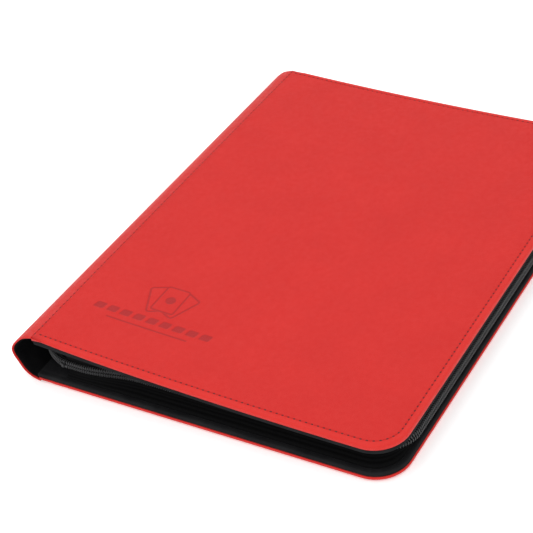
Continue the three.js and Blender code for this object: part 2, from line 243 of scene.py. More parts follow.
def smooth_curve(points, per_span):
    """A Catmull-Rom curve through the points."""
    ends = [points[0] * 2 - points[1], *points, points[-1] * 2 - points[-2]]
    curve = []
    for a, b, c, d in zip(ends, ends[1:], ends[2:], ends[3:]):
        for k in range(per_span):
            t = k / per_span
            bend = (c - a) * t + (a * 2 - b * 5 + c * 4 - d) * t * t
            curve.append(b + (bend + (b * 3 - a - c * 3 + d) * t ** 3) / 2)
    curve.append(points[-1])
    return curve


# ------------------------------------------------------------------ material helpers
class Nodes:
    """A short way to write a node tree."""

    def __init__(self, name, color, roughness):
        self.material = bpy.data.materials.new(name)
        self.material.use_nodes = True
        self.tree = self.material.node_tree
        self.shader = self.tree.nodes["Principled BSDF"]
        self.shader.inputs["Base Color"].default_value = (*color, 1)
        self.shader.inputs["Roughness"].default_value = roughness

    def add(self, kind, inputs=None, **settings):
        node = self.tree.nodes.new("ShaderNode" + kind)
        for key, value in settings.items():
            setattr(node, key, value)
        for key, value in (inputs or {}).items():
            self.feed(node.inputs[key], value)
        return node

    def feed(self, socket, value):
        if isinstance(value, bpy.types.NodeSocket):
            self.tree.links.new(value, socket)
        else:
            socket.default_value = value

    def place(self):
        return self.add("TexCoord").outputs["Object"]

    def mark(self, name):
        return self.add("Attribute", attribute_name=name).outputs["Fac"]

    def noise(self, scale, detail=3.0, roughness=0.55):
        inputs = {"Vector": self.place(), "Scale": scale, "Detail": detail, "Roughness": roughness}
        return self.add("TexNoise", inputs).outputs["Fac"]

    def cells(self, scale, feature="DISTANCE_TO_EDGE"):
        inputs = {"Vector": self.place(), "Scale": scale}
        return self.add("TexVoronoi", inputs, feature=feature).outputs["Distance"]

    def math(self, operation, a, b=0.5, c=0.5):
        node = self.add("Math", operation=operation)
        for socket, value in zip(node.inputs, (a, b, c)):
            self.feed(socket, value)
        return node.outputs[0]

    def ramp(self, value, low, high, to_low, to_high):
        names = ("Value", "From Min", "From Max", "To Min", "To Max")
        node = self.add("MapRange", dict(zip(names, (value, low, high, to_low, to_high))))
        return node.outputs["Result"]

    def blend(self, factor, a, b):
        node = self.add("Mix", data_type="RGBA")
        self.feed(node.inputs[0], factor)
        for socket, value in ((node.inputs[6], a), (node.inputs[7], b)):
            self.feed(socket, (*value, 1) if isinstance(value, tuple) else value)
        return node.outputs[2]

    def bump(self, height, strength, distance):
        inputs = {"Height": height, "Strength": strength, "Distance": distance}
        normal = self.add("Bump", inputs).outputs["Normal"]
        self.feed(self.shader.inputs["Normal"], normal)

    def color(self, socket):
        self.feed(self.shader.inputs["Base Color"], socket)

    def rough(self, socket):
        self.feed(self.shader.inputs["Roughness"], socket)

    def set(self, **values):
        for key, value in values.items():
            self.shader.inputs[key.replace("_", " ")].default_value = value
        return self.material


# ------------------------------------------------------------------ materials
def red_leather():
    n = Nodes("red_leather", (0.70, 0.036, 0.031), 0.5)
    clouds = n.noise(28, 4)
    mottle = n.noise(260, 3)
    grain = n.cells(1500)
    fine = n.noise(5200, 2)
    base = n.blend(n.ramp(clouds, 0.3, 0.7, 0, 1), (0.545, 0.0150, 0.0115), (0.58, 0.0175, 0.0135))
    base = n.blend(n.ramp(mottle, 0.35, 0.7, 0, 0.25), base, (0.50, 0.0125, 0.0105))
    base = n.blend(n.ramp(grain, 0, 0.12, 0.25, 0), base, (0.40, 0.008, 0.007))
    # painted highlight: the edge mark lightens the margin, side wall and turned edge, where light
    # catches the rounded rim
    base = n.blend(n.math("MULTIPLY", n.mark("edge"), 0.4), base, (0.66, 0.028, 0.021))
    # the pressed mark darkens the leather: darker where the emblem is pressed in, and painted shade in
    # the ditch beside the spine
    base = n.blend(n.math("MULTIPLY", n.mark("pressed"), 0.72), base, (0.30, 0.010, 0.012))
    n.color(base)
    pressed_gloss = n.math("MULTIPLY", n.mark("pressed"), 0.12)
    n.rough(n.math("SUBTRACT", n.ramp(mottle, 0.3, 0.7, 0.5, 0.62), pressed_gloss))
    wrinkles = n.math("MULTIPLY", n.ramp(grain, 0, 0.2, 0, 1), 0.6)
    height = n.math("ADD", wrinkles, n.math("MULTIPLY", fine, 0.5))
    n.bump(n.math("ADD", height, n.math("MULTIPLY", mottle, 1.2)), 0.5, 0.0002)
    return n.set(Specular_IOR_Level=0.22)


def thread_red():
    n = Nodes("thread_red", (0.60, 0.024, 0.022), 0.62)
    twist = n.noise(3800, 1)
    n.color(n.blend(n.ramp(twist, 0.35, 0.65, 0, 1), (0.46, 0.012, 0.011), (0.58, 0.019, 0.016)))
    n.bump(twist, 0.5, 0.0001)
    return n.set(Specular_IOR_Level=0.2)


# painted shade: dark dots standing in for the shade inside each stitch hole
def stitch_hole_shade():
    n = Nodes("stitch_hole_shade", (0.20, 0.004, 0.006), 0.8)
    shade = n.noise(2400, 2)
    n.color(n.blend(n.ramp(shade, 0.3, 0.7, 0, 1), (0.075, 0.001, 0.0015), (0.13, 0.002, 0.003)))
    n.bump(shade, 0.4, 0.0001)
    return n.material


def black_lining(name, dark, light):
    n = Nodes(name, dark, 0.42)
    grain = n.cells(1700)
    soft = n.noise(90, 3)
    n.color(n.blend(n.ramp(soft, 0.3, 0.7, 0, 1), dark, light))
    n.rough(n.ramp(soft, 0.3, 0.7, 0.6, 0.75))
    n.bump(n.math("ADD", n.ramp(grain, 0, 0.2, 0, 1), n.noise(4200, 2)), 0.25, 0.0001)
    return n.set(Specular_IOR_Level=0.03)


def woven(name, color, light, scale, strength):
    """A plain weave: two sets of ribs, one over the other in turn."""
    n = Nodes(name, color, 0.85)
    split = n.add("SeparateXYZ", {"Vector": n.place()})
    along = n.math("ADD", split.outputs["X"], split.outputs["Y"])
    across = n.math("SUBTRACT", n.math("MULTIPLY", split.outputs["Z"], 1.4), along)
    warp = n.math("SINE", n.math("MULTIPLY", along, scale))
    weft = n.math("SINE", n.math("MULTIPLY", across, scale))
    over = n.math("MULTIPLY", warp, weft)
    fuzz = n.noise(3000, 2)
    n.color(n.blend(n.ramp(over, -1, 1, 0, 1), color, light))
    n.bump(n.math("ADD", over, n.math("MULTIPLY", fuzz, 0.8)), strength, 0.00018)
    n.rough(n.ramp(fuzz, 0.3, 0.7, 0.75, 0.95))
    return n.set(Specular_IOR_Level=0.03)


def nylon():
    n = Nodes("nylon_coil", (0.02, 0.02, 0.021), 0.38)
    streaks = n.noise(900, 2)
    n.color(n.blend(n.ramp(streaks, 0.3, 0.7, 0, 1), (0.028, 0.028, 0.029), (0.06, 0.06, 0.062)))
    n.rough(n.ramp(streaks, 0.3, 0.7, 0.36, 0.5))
    n.bump(streaks, 0.15, 0.0001)
    return n.set(Specular_IOR_Level=0.4)


def painted_metal():
    n = Nodes("black_painted_metal", (0.018, 0.018, 0.019), 0.32)
    peel = n.noise(1300, 2)
    wear = n.noise(240, 4)
    n.color(n.blend(n.ramp(wear, 0.55, 0.75, 0, 1), (0.016, 0.016, 0.017), (0.045, 0.045, 0.047)))
    n.rough(n.ramp(peel, 0.3, 0.7, 0.26, 0.4))
    n.bump(peel, 0.08, 0.0001)
    return n.set(Metallic=0.6)


def chipboard():
    n = Nodes("chipboard", (0.36, 0.33, 0.28), 0.9)
    fibre = n.noise(700, 5, 0.7)
    flecks = n.cells(420, "F1")
    base = n.blend(n.ramp(fibre, 0.3, 0.7, 0, 1), (0.29, 0.26, 0.22), (0.43, 0.39, 0.33))
    n.color(n.blend(n.ramp(flecks, 0.0, 0.25, 0.5, 0), base, (0.2, 0.17, 0.14)))
    n.bump(fibre, 0.4, 0.0002)
    return n.material


def foam():
    n = Nodes("foam_sheet", (0.06, 0.06, 0.065), 0.95)
    cells = n.cells(900)
    n.color(n.blend(n.ramp(cells, 0, 0.3, 0, 1), (0.03, 0.03, 0.033), (0.085, 0.085, 0.09)))
    n.bump(cells, 0.6, 0.0003)
    return n.material


def page_film():
    n = Nodes("page_film", (0.011, 0.011, 0.012), 0.2)
    ripple = n.noise(35, 2)
    scuff = n.noise(420, 5, 0.7)
    weld = n.mark("weld")
    base = n.blend(n.ramp(ripple, 0.3, 0.7, 0, 1), (0.009, 0.009, 0.010), (0.014, 0.014, 0.015))
    n.color(n.blend(n.math("MULTIPLY", weld, 0.7), base, (0.055, 0.055, 0.058)))
    n.rough(n.math("ADD", n.ramp(scuff, 0.3, 0.7, 0.2, 0.32), n.math("MULTIPLY", weld, 0.3)))
    n.bump(n.math("ADD", ripple, n.math("MULTIPLY", scuff, 0.08)), 0.2, 0.0008)
    return n.set(Coat_Weight=0.25, Coat_Roughness=0.16, Specular_IOR_Level=0.35)


LEATHER = red_leather()
THREAD_RED = thread_red()
HOLE_SHADE = stitch_hole_shade()
LINING = black_lining("black_lining", (0.009, 0.009, 0.010), (0.017, 0.017, 0.018))
# painted shade: a darker copy of the black lining for the spine's hollow, standing in for its deep
# shade
SHADED_SPINE_LINING = black_lining("shaded_spine_lining", (0.0035, 0.0035, 0.004), (0.007, 0.007, 0.0075))
TAPE_CLOTH = woven("woven_tape", (0.002, 0.002, 0.0021), (0.009, 0.009, 0.0095), 5200, 0.5)
NYLON = nylon()
METAL = painted_metal()
BOARD = chipboard()
FOAM = foam()
FILM = page_film()


# ------------------------------------------------------------------ covers
def front_rim(x):
    """Lower edge of the front cover's leather: it sags from the spine to the fore-edge."""
    share = (FRONT_HIGH.x - x) / (FRONT_HIGH.x - FRONT_LOW.x)
    rise = FRONT_HIGH.z - FRONT_DEPTH - FRONT_LOW.z
    return FRONT_LOW.z + rise * max(0.0, share) ** 2


def on_front(x, y, h):
    return Vector((x, y, front_rim(x) + h))


def on_back(x, y, h):
    return Vector((x, y, BACK_DEPTH - h))


def edge_distance(plan, x, y):
    """Distance in from the tail, fore and head edges of a rounded plan."""
    _, x1, half, radius = plan
    dx, dy = x1 - radius - x, half - radius - abs(y)
    if dx < 0 and dy < 0:
        return radius - math.hypot(dx, dy)
    return min(x1 - x, half - abs(y))


def outline(plan, inset, xs, ys, arc=10):
    """The plan's outline, inset, through the grid lines xs and ys and round the arcs."""
    x0, x1, half, radius = plan
    r = max(radius - inset, 0)
    low, high = inset - half, half - inset
    corner = Vector((x1 - radius, radius - half))
    turns = [math.radians(90 * i / arc) for i in range(1, arc)]
    tail_arc = [(corner.x + r * math.sin(a), corner.y - r * math.cos(a)) for a in turns]
    spine = x0 + inset * SPINE_SHARE
    points = [(spine, low)] + [(x, low) for x in xs] + tail_arc
    points += [(x1 - inset, y) for y in ys]
    points += [(x, -y) for x, y in reversed(tail_arc)]
    points += [(x, high) for x in reversed(xs)] + [(spine, high)]
    points += [(spine, y) for y in reversed(ys)]
    return points


def strips(shape, xs, ys, surface):
    """Fills the plain rectangle inside a panel's innermost loop with long strips along y."""
    y0, y1 = ys[0], ys[-1]
    for a, b in zip(xs, xs[1:]):
        left = ys if a == xs[0] else [y0, y1]
        right = ys if b == xs[-1] else [y0, y1]
        points = [surface(a, y) for y in reversed(left)] + [surface(b, y) for y in right]
        shape.cap(shape.ring(points))


def grid(shape, xs, ys, surface, mark):
    """Fills that rectangle with a grid instead, and marks how far each point is pressed in."""
    rows = []
    for x in xs:
        points = [surface(x, y) for y in ys]
        rows.append(shape.ring(points, pressed=[mark(x, y) for y in ys]))
    for a, b in zip(rows, rows[1:]):
        shape.bridge(a, b, closed=False)


def rounding(d, radius=EDGE_ROUND):
    """How far a rounded edge has dropped at a distance d in from it."""
    if d >= radius:
        return 0.0
    return radius - math.sqrt(max(radius ** 2 - (radius - max(d, 0)) ** 2, 0))


def panel_height(plan, depth, x, y):
    """Height of a padded, stitched leather face above its rim line."""
    d = edge_distance(plan, x, y)
    spine = x - plan[0]
    inside = max(d - STITCH_INSET, 0)
    crown = (1 - math.exp(-inside / (8 * MM))) * (1 - math.exp(-spine / (8 * MM)))
    groove = 0.16 * MM * math.exp(-(((d - STITCH_INSET) / (0.6 * MM)) ** 2))
    slope = 0.25 * MM * ease(1 - d / STITCH_INSET)
    wave = math.sin(x * 31 + y * 17) * math.sin(y * 23 - x * 11) * 0.07 * MM
    level = depth - PAD_CROWN * (1 - crown) - groove - slope + wave * crown
    return level - rounding(d) - rounding(spine, SEAM_ROUND)


def painted_seam_shade(plan, x):
    """How deep a point lies in the ditch beside the spine, from 0 to 1; it sets the painted shade in
    that ditch.
    """
    return 0.9 * math.exp(-(((x - plan[0]) / (1.5 * MM)) ** 2))


def rim_lift(plan, x):
    """The turned edge gets narrower towards the spine."""
    if plan[1] != FRONT_HIGH.x:
        return RIM_LIFT
    return RIM_LIFT + SPINE_LIFT * math.exp(-(x - plan[0]) / SPINE_LIFT_FADE)


# Loops round a panel, in mm in from its edge, closest together at the stitches and the edge.
COVER_INSETS = (
    22, 17, 13, 10, 8, 6.6, 5.6, 5.1, 4.7, 4.3, 3.9, 3.5, 3.0, 2.3, 1.7, 1.3, 0.9, 0.5, 0.2, 0
)
LINING_INSETS = (14, 9, 6, 4.6, 4, 3.5, 3, 2.4, 1.6, 0.9, 0.7, 0.5, 0.3, 0.1, 0)
# The leather's turned edge: (inset, drop below the rim's lift), in mm.
TURNED_EDGE = ((0.12, 0.3), (0.4, 0.42), (1.0, 0.42))


def cover_panel(name, plan, depth, place_at, xs, ys, stamp):
    """A leather tray: padded outer face, rounded turned edges and a plain inner face."""
    shape = Shape()

    def height(x, y):
        return panel_height(plan, depth, x, y) - PRESS_DEPTH * stamp(x, y)

    def outer_face(x, y):
        return place_at(x, y, height(x, y))

    def inner_face(x, y):
        return place_at(x, y, roof)

    loops = []
    for mm in COVER_INSETS:
        at = outline(plan, mm * MM, xs, ys)
        # edge mark: fades in from the stitches to 1 on the margin, side wall and turned edge, and sets
        # the painted highlight there
        edge = ease((STITCH_INSET - mm * MM) / (1.5 * MM))
        points = [outer_face(x, y) for x, y in at]
        # the pressed mark on these outer-face loops is painted shade in the ditch beside the spine
        loops.append((points, edge, [painted_seam_shade(plan, x) for x, y in at]))
    top = depth - EDGE_ROUND - PAD_CROWN
    for share in (0.25, 0.5, 0.75, 1):
        bulge = -0.14 * MM * math.sin(math.pi * share)
        at = outline(plan, bulge, xs, ys)
        points = [place_at(x, y, mix(top, rim_lift(plan, x), share)) for x, y in at]
        loops.append((points, 1.0, 0.0))
    for inset, drop in TURNED_EDGE:
        at = outline(plan, inset * MM, xs, ys)
        points = [place_at(x, y, rim_lift(plan, x) - drop * MM) for x, y in at]
        loops.append((points, 1.0, 0.0))
    roof = depth - SKIN
    for inset in (SKIN, CORNER):
        at = outline(plan, inset, xs, ys)
        loops.append(([inner_face(x, y) for x, y in at], 0.0, 0.0))
    rows = [shape.ring(points, edge=edge, pressed=pressed) for points, edge, pressed in loops]
    for a, b in zip(rows, rows[1:]):
        shape.bridge(a, b)
    grid(shape, xs, ys, outer_face, stamp)
    strips(shape, xs, ys, inner_face)
    return shape.make(name, LEATHER, 50)


def lining_panel(name, plan, low, high, place_at, cover):
    """A padded inner panel with softly rounded edges, a stitched border and a lip that meets
    the turned edge of the cover round it."""
    shape = Shape()
    x0, x1, half, radius = plan
    xs = spaced(x0 + radius * SPINE_SHARE, x1 - radius, 5 * MM)
    ys = spaced(radius - half, half - radius, 5 * MM)

    def face(up, h):
        def level(x, y):
            d = edge_distance(plan, x, y)
            seam = 0.25 * MM * math.exp(-(((d - 3.5 * MM) / (0.7 * MM)) ** 2))
            if up < 0:
                return h + (rounding(d, 1.0 * MM) + seam)
            lip = (rim_lift(cover, x) - LIP_DROP) * ease((0.9 * MM - d) / (0.4 * MM))
            return h - (rounding(d, 0.4 * MM) + seam) + lip

        loops = []
        for mm in (radius / MM, *LINING_INSETS):
            at = outline(plan, mm * MM, xs, ys)
            loops.append([place_at(x, y, level(x, y)) for x, y in at])
        return loops, level

    upper, top = face(1, high)
    lower, bottom = face(-1, low)
    rows = [shape.ring(points) for points in upper + lower[::-1]]
    for a, b in zip(rows, rows[1:]):
        shape.bridge(a, b)
    strips(shape, xs, ys, lambda x, y: place_at(x, y, top(x, y)))
    strips(shape, xs, ys, lambda x, y: place_at(x, y, bottom(x, y)))
    return shape.make(name, LINING, 50)


# ------------------------------------------------------------------ pressed emblem
EMBLEM_X, EMBLEM_Y = HINGE_LINE + 71 * MM, -107 * MM


def box_distance(x, y, w, h, r):
    """Signed distance to a rounded rectangle centred on the origin."""
    dx, dy = abs(x) - w / 2 + r, abs(y) - h / 2 + r
    return math.hypot(max(dx, 0), max(dy, 0)) + min(max(dx, dy), 0) - r


def ink(d, soft=0.35 * MM):
    """1 inside a pressed outline, 0 outside it, and smooth across its edge."""
    return ease(0.5 - d / soft)


def emblem(x, y):
    """How far a point is pressed in, from 0 to 1: a fan of three blank cards over a row of
    nine small ones and a fine rule."""
    x, y = x - EMBLEM_X, y - EMBLEM_Y
    if abs(x) > 50 * MM or y > 22 * MM or y < -36 * MM:
        return 0.0
    value = 0.0
    for lean in (24, -24, 0):
        a = math.radians(lean)
        u = x * math.cos(a) + (y + 16 * MM) * math.sin(a)
        v = (y + 16 * MM) * math.cos(a) - x * math.sin(a) - 16 * MM
        card = box_distance(u, v, 17 * MM, 24 * MM, 2 * MM)
        if card < 0.8 * MM:
            line = ink(abs(card) - 0.65 * MM)
            core = ink(box_distance(u, v, 7 * MM, 7 * MM, 3.4 * MM)) if lean == 0 else 0.0
            value = max(line, core)
    for k in range(9):
        u = x - (k - 4) * 10.2 * MM - (y + 22.5 * MM) * 0.2
        value = max(value, ink(box_distance(u, y + 22.5 * MM, 7.4 * MM, 5.6 * MM, 1.2 * MM)))
    return max(value, ink(box_distance(x, y + 30 * MM, 62 * MM, 1.1 * MM, 0.5 * MM)))


# ------------------------------------------------------------------ stitches
# One stitch: (share of the way to the next hole, height in mm).
STITCH_ARCH = ((0.14, -0.4), (0.22, -0.02), (0.38, 0.14), (0.62, 0.14), (0.78, -0.02), (0.86, -0.4))
# One hole's rim, outside in: (size in mm, height in mm).
HOLE_RIM = ((0.85, 0.04), (0.6, 0.1), (0.3, 0.05))


def panel_path(plan, depth, place_at):
    """The stitch line round three sides of a cover, lying in its groove."""
    x0, x1, half, radius = plan
    r = radius - STITCH_INSET
    low = STITCH_INSET - half
    corner = Vector((x1 - radius, radius - half))
    arc = [math.radians(a) for a in range(0, 91, 6)]
    bend = [(corner.x + r * math.sin(a), corner.y - r * math.cos(a)) for a in arc]
    flat = [(x, low) for x in spaced(x0 + 5 * MM, corner.x, 6 * MM)[:-1]] + bend
    flat += [(x, -y) for x, y in reversed(flat)]
    return [place_at(x, y, panel_height(plan, depth, x, y)) for x, y in flat]


def seam_path(plan, depth, place_at):
    x = plan[0] + SEAM_INSET
    ys = spaced(-plan[2] + 4 * MM, plan[2] - 4 * MM, 6 * MM)
    return [place_at(x, y, panel_height(plan, depth, x, y)) for y in ys]


def stitches(name, paths, out, body, slot):
    """Thread arching from hole to hole along each path, and dark dots of painted shade at the holes it
    sinks into.
    """
    thread, holes = Shape(), Shape()
    for path in paths:
        found = resample(path, STITCH_PITCH)
        for (a, _), (b, _) in zip(found, found[1:]):
            points = [a.lerp(b, t) + out * (h * MM) for t, h in STITCH_ARCH]
            thread.tube(circle_rings(points, THREAD, 5, out))
        for p, ahead in found:
            side = ahead.cross(out).normalized()
            rings = []
            for size, h in HOLE_RIM:
                reach = size * MM
                rings.append([
                    p + (ahead * 1.2 * math.cos(t) + side * 0.85 * math.sin(t)) * reach + out * h * MM
                    for t in round_turn(6)
                ])
            under = [q - out * 0.3 * MM for q in rings[0]]
            holes.tube([under, *rings])
    place(thread.make(name + "_thread", THREAD_RED), body, slot)
    place(holes.make(name + "_holes", HOLE_SHADE), body, slot)


def no_stamp(x, y):
    return 0.0


def build_front_leather():
    """The front panel's grid is finest where the emblem is pressed in."""
    inner_x = (FRONT_LOW.x + CORNER * SPINE_SHARE, FRONT_HIGH.x - CORNER)
    dense_x = (EMBLEM_X - 49 * MM, EMBLEM_X + 49 * MM)
    dense_y = (EMBLEM_Y - 32 * MM, EMBLEM_Y + 15 * MM)
    step = 0.55 * MM
    xs = spaced(inner_x[0], dense_x[0], 3 * MM)[:-1] + spaced(*dense_x, step)
    xs += spaced(dense_x[1], inner_x[1], 4 * MM)[1:]
    ys = spaced(CORNER - HALF, dense_y[0], 4 * MM)[:-1] + spaced(*dense_y, step)
    ys += spaced(dense_y[1], HALF - CORNER, 4 * MM)[1:]
    panel = cover_panel("front_cover_panel", FRONT_PLAN, FRONT_DEPTH, on_front, xs, ys, emblem)
    place(panel, "front_cover", "red_leather", "front_cover_leather")


def build_back_leather():
    xs = spaced(BACK_LOW.x + CORNER * SPINE_SHARE, BACK_HIGH.x - CORNER, 5 * MM)
    ys = spaced(CORNER - HALF, HALF - CORNER, 5 * MM)
    panel = cover_panel("back_cover_panel", BACK_PLAN, BACK_DEPTH, on_back, xs, ys, no_stamp)
    place(panel, "back_cover", "red_leather", "back_cover_leather")


def build_covers():
    build_front_leather()
    build_back_leather()
    for side, plan, depth, place_at, out in (
        ("front", FRONT_PLAN, FRONT_DEPTH, on_front, Vector((0, 0, 1))),
        ("back", BACK_PLAN, BACK_DEPTH, on_back, Vector((0, 0, -1))),
    ):
        rows = [panel_path(plan, depth, place_at), seam_path(plan, depth, place_at)]
        stitches(f"{side}_cover_stitch", rows, out, f"{side}_cover", "red_leather")

    node_low, node_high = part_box("front_cover_lining")
    plan = (node_low.x, node_high.x, node_high.y, LINING_CORNER)
    low, high = -3.3 * MM, -0.3 * MM
    lining = lining_panel("front_lining_panel", plan, low, high, on_front, FRONT_PLAN)
    place(lining, "front_cover", "black_lining", "front_cover_lining")
    node_low, node_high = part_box("back_cover_lining")
    plan = (node_low.x - LINING_LAP, node_high.x, node_high.y, LINING_CORNER)
    low, high = BACK_DEPTH - node_high.z, BACK_DEPTH - node_low.z
    lining = lining_panel("back_lining_panel", plan, low, high, on_back, BACK_PLAN)
    place(lining, "back_cover", "black_lining", "back_cover_lining")


# ------------------------------------------------------------------ spine
def on_strip(number, share, out):
    """A place on one flat strip of the spine, at a share of its length, out from its middle."""
    a, b = FOLDS[number], FOLDS[number + 1]
    ahead = (b - a).normalized()
    return a.lerp(b, share) + Vector((-ahead.z, 0, ahead.x)) * out


def at_fold(number, out):
    """A place out from a fold line, half-way between the ways that its two strips face."""
    before = on_strip(number - 1, 1.0, 1) if number else FOLDS[0] - Vector((0, 0, 1))
    way = (before + on_strip(number, 0.0, 1)) / 2 - FOLDS[number]
    return FOLDS[number] + way.normalized() * out


def spine_curve():
    """The spine's outer surface in section, from the back cover's edge to the front's."""
    back_join = Vector((BACK_LOW.x - 0.2 * MM, 0, 0.08 * MM))
    front_join = Vector((FRONT_LOW.x - 0.1 * MM, 0, FRONT_HIGH.z - 1.25 * MM))
    lower, middle, upper = (SPINE_OUT + swell for swell in SPINE_SWELL)
    points = [
        back_join,
        at_fold(0, SPINE_OUT * 0.95),
        on_strip(0, 0.5, lower),
        at_fold(1, SPINE_OUT + 0.1 * MM),
        on_strip(1, 0.4, mix(SPINE_OUT, middle, 0.7)),
        on_strip(1, 0.75, middle),
        at_fold(2, SPINE_OUT + 0.25 * MM),
        on_strip(2, 0.16, mix(SPINE_OUT, upper, 0.8)),
        on_strip(2, 0.45, upper),
        on_strip(2, 0.75, mix(SPINE_OUT, upper, 0.55)),
        front_join,
    ]
    return smooth_curve(points, 10)


def section_normals(curve):
    """The way out of the spine at each point of its section."""
    found = []
    for i in range(len(curve)):
        ahead = (curve[min(i + 1, len(curve) - 1)] - curve[max(i - 1, 0)]).normalized()
        found.append(Vector((-ahead.z, 0, ahead.x)))
    return found


# How a spine strip is rounded at its ends: (mm in from the end, share pinched from each side).
SPINE_END = ((0.0, 0.5), (0.1, 0.28), (0.3, 0.12), (0.6, 0.03), (1.0, 0.0), (6.0, 0.0))
# Each layer: its material, its slot, the places of its outer and inner faces (below 0 is in from
# the spine's outer surface), and how far it stops short of the head and tail ends.
SPINE_LAYERS = {
    "leather": (LEATHER, "red_leather", 0.0, -SPINE_SKIN, 0.0),
    "lining": (SHADED_SPINE_LINING, "black_lining", -1.45 * MM, -2.3 * MM, 0.9 * MM),
}
# Each fold: its name, the CAD strip that its piece replaces (if any), and how far in mm the bend
# reaches before and after the fold line.
SPINE_BENDS = (
    ("back_fold", "lower", 0.9, 4),
    ("lower_fold", "middle", 4, 4),
    ("upper_fold", "upper", 5, 5),
    ("front_fold", None, 5, 1.6),
)


def spine_piece(name, curve, normals, first, last, outer, inner, material, hem):
    """A strip of the spine between two places on its section, rounded at head and tail."""
    shape = Shape()
    ends = [(HALF - hem - y * MM, pinch) for y, pinch in SPINE_END]
    middle = spaced(-HALF + hem + 12 * MM, HALF - hem - 12 * MM, 8 * MM)
    rows = [(-y, p) for y, p in ends] + [(y, 0.0) for y in middle] + ends[::-1]
    rings = []
    for y, pinch in rows:
        thick = outer - inner
        top, bottom = outer - thick * pinch, inner + thick * pinch
        span = range(first, last + 1)
        out_side = [curve[i] + normals[i] * top for i in span]
        in_side = [curve[i] + normals[i] * bottom for i in reversed(span)]
        rings.append([Vector((p.x, y, p.z)) for p in out_side + in_side])
    shape.tube(rings)
    return shape.make(name, material, 50)


def build_spine():
    """Two layers, each in four pieces that bend across one fold."""
    curve = spine_curve()
    normals = section_normals(curve)
    splits = [0]
    for i in range(3):
        middle = on_strip(i, 0.5, SPINE_OUT)
        splits.append(min(range(len(curve)), key=lambda k: (curve[k] - middle).length))
    splits.append(len(curve) - 1)
    ways = [Vector((-1, 0, 0))]
    ways += [(b - a).normalized() for a, b in zip(FOLDS, FOLDS[1:])]
    ways.append(Vector((1, 0, 0)))
    for i, (name, strip, before, after) in enumerate(SPINE_BENDS):
        for layer, (material, slot, outer, inner, hem) in SPINE_LAYERS.items():
            piece = spine_piece(
                f"spine_{layer}_{name}",
                curve,
                normals,
                splits[i],
                splits[i + 1],
                outer,
                inner,
                material,
                hem,
            )
            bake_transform(piece)
            if strip:
                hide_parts(f"spine_{layer}_{strip}")


# ------------------------------------------------------------------ zip
# One coil loop: (out from the zip line, away from its middle height, lean along it), in mm.
TOOTH_PROFILE = (
    (0.3, 2.6, -0.3),
    (1.3, 2.85, -0.2),
    (1.95, 2.5, -0.1),
    (2.15, 1.45, 0.0),
    (1.9, 0.75, 0.12),
    (1.1, 0.6, 0.2),
    (0.3, 0.9, 0.3),
)
WIRE_WIDTH, WIRE_THICKNESS = 0.4 * MM, 0.32 * MM  # half of each
# A crimped stop from bottom to top: (share of half its height, share of its width).
STOP_PROFILE = (
    (-1, 0.55), (-0.88, 0.9), (-0.5, 1), (-0.15, 0.85), (0.15, 0.85), (0.5, 1), (0.88, 0.9), (1, 0.55)
)


def zip_route():
    """The zip line in plan from the tail end, round the fore-edge, to the head end, with the
    zip's mid-height at each point."""
    turn_x, turn_y = ZIP_FORE_X - ZIP_CORNER, ZIP_Y - ZIP_CORNER
    route = []
    for x in spaced(ZIP_START, turn_x, 3 * MM)[:-1]:
        swing = FLARE * ease((HINGE_LINE + 78 * MM - x) / (42 * MM))
        route.append(Vector((x, -ZIP_Y - swing, COIL_Z)))
    for step in range(19):
        a = math.radians(step * 5)
        z = mix(COIL_Z, COIL_Z_FORE, ease(step / 18))
        route.append(Vector((turn_x + ZIP_CORNER * math.sin(a), -turn_y - ZIP_CORNER * math.cos(a), z)))
    corner = route[-19:]
    route += [Vector((ZIP_FORE_X, y, COIL_Z_FORE)) for y in spaced(-turn_y, turn_y, 4 * MM)[1:-1]]
    route += [Vector((p.x, -p.y, p.z)) for p in reversed(corner)]
    route += [Vector((x, ZIP_Y, COIL_Z)) for x in reversed(spaced(ZIP_START, turn_x, 3 * MM)[:-1])]
    return route


def tail_route():
    """The zip's free end at the tail edge, which curls into the spine."""
    ends = [
        Vector((ZIP_START - 0.4 * MM, -ZIP_Y - FLARE, COIL_Z)),
        Vector((HINGE_LINE + 19 * MM, -165.8 * MM, COIL_Z)),
        Vector((HINGE_LINE + 13 * MM, -163.4 * MM, COIL_Z)),
        Vector((HINGE_LINE + 6 * MM, -159.4 * MM, COIL_Z)),
        Vector((HINGE_LINE + 0.6 * MM, -154.2 * MM, COIL_Z)),
    ]
    return smooth_curve(ends, 8)


def head_route():
    """The zip's free end at the head edge, which runs straight on towards the spine."""
    xs = spaced(HEAD_COIL_HIGH.x, HEAD_COIL_LOW.x, 2 * MM)
    return [Vector((x, ZIP_Y, COIL_Z)) for x in xs]


def teeth(shape, route, side, outward=1):
    """One row of coil loops: each bar leaves the tape, runs to the middle of the zip and
    returns, leaning a little along the zip."""
    last = len(TOOTH_PROFILE) - 1
    for p, ahead in resample(route, TOOTH_PITCH):
        out = Vector((ahead.y, -ahead.x, 0)) * outward
        base = p + ahead * (TOOTH_PITCH / 2 if side > 0 else 0)
        points = []
        for reach, up, lean in TOOTH_PROFILE:
            rise = Vector((0, 0, side * up * MM))
            points.append(base + out * (reach * MM) + rise + ahead * (lean * MM))
        rings = []
        for k, q in enumerate(points):
            way = (points[min(k + 1, last)] - points[max(k - 1, 0)]).normalized()
            flat = way.cross(ahead).normalized()
            rings.append([
                q + ahead * (WIRE_WIDTH * math.cos(t)) + flat * (WIRE_THICKNESS * math.sin(t))
                for t in round_turn(6)
            ])
        shape.tube(rings)


def inside_plan(plan, inset, x, y):
    return x < plan[1] and edge_distance(plan, x, y) > inset


def seam_reach(plan, p, out):
    """How far out from p the tape reaches before its seam inside the cover's edge."""
    low, high = -10 * MM, 40 * MM
    for _ in range(24):
        mid = (low + high) / 2
        q = p + out * mid
        if inside_plan(plan, TAPE_SEAM_INSET, q.x, q.y):
            low = mid
        else:
            high = mid
    return low


